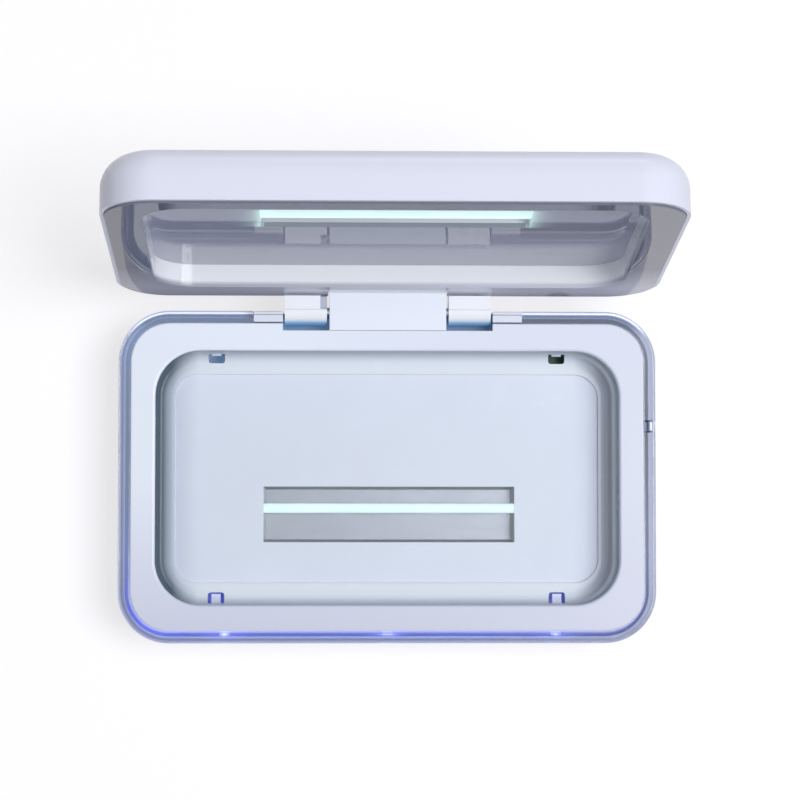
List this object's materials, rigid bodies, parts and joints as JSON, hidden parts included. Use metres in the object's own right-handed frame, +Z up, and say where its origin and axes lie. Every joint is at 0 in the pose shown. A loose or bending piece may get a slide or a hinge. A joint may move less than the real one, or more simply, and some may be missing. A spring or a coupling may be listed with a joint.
{
  "type": "phone ultraviolet sanitizer box",
  "caption": "Clamshell box with a lit ring and a hinged lid that closes over a phone between ultraviolet lamps.",
  "frame": {"origin": "middle of the bounding box at table level, with the lid open as at rest", "axes": "+X to the right along the hinge, +Y from the front edge to the hinge, +Z up"},
  "size_m": [0.1786, 0.1506, 0.131],
  "materials": {
    "white_shell": "satin white moulding",
    "white_deck": "satin white moulding",
    "white_trim": "satin white moulding",
    "clear_ring": "clear light guide, frosted inside",
    "bright_liner": "glossy silver-white",
    "glossy_panel": "glossy silver-white",
    "quartz": "clear",
    "polished_pan": "polished",
    "lamp_glass": "clear tube",
    "holder_rubber": "moulded",
    "lead_cover": "smooth",
    "circuit_board": "solder mask",
    "transformer": "taped winding",
    "led_lens": "clear lens",
    "inlet_plastic": "moulded",
    "switch_plastic": "moulded",
    "pin_steel": "ground",
    "screw_steel": "plated",
    "foot_rubber": "matte"
  },
  "bodies": {
    "base": {"base_shell": "white_shell", "light_ring": "clear_ring", "ring_end_left": "white_trim", "ring_end_right": "white_trim", "deck_frame": "white_deck", "chamber_liner": "bright_liner", "quartz_plate": "quartz", "lower_reflector": "polished_pan", "lower_lamp": "lamp_glass", "lower_lamp_holders": "holder_rubber", "lower_lamp_lead": "lead_cover", "main_board": "circuit_board", "lamp_inverter": "transformer", "led_strip": "circuit_board", "status_leds": "led_lens", "power_inlet": "inlet_plastic", "lid_switch": "switch_plastic", "hinge_block": "white_trim", "hinge_pin": "pin_steel", "block_screws": "screw_steel", "case_screws": "screw_steel", "rubber_feet": "foot_rubber"},
    "lid": {"lid_shell": "white_shell", "lid_liner": "glossy_panel", "upper_reflector": "polished_pan", "upper_lamp": "lamp_glass", "upper_lamp_holders": "holder_rubber", "upper_lamp_lead": "lead_cover", "hinge_arm_left": "white_trim", "hinge_arm_right": "white_trim", "arm_screws": "screw_steel"},
    "plunger": {"switch_plunger": "white_trim"}
  },
  "joints": [
    {"name": "lid_hinge", "type": "hinge", "parent": "base", "child": "lid", "pos_m": [0, 0.03487, 0.0233], "axis": [1, 0, 0], "range_deg": [0, 99.6]},
    {"name": "plunger_slide", "type": "slide", "parent": "base", "child": "plunger", "axis": [0, 0, -1], "range_m": [0, 0.00101]}
  ],
  "couplings": [
    {"joint": "plunger_slide", "follows": "lid_hinge", "m_per_rad": 0.00057526}
  ]
}
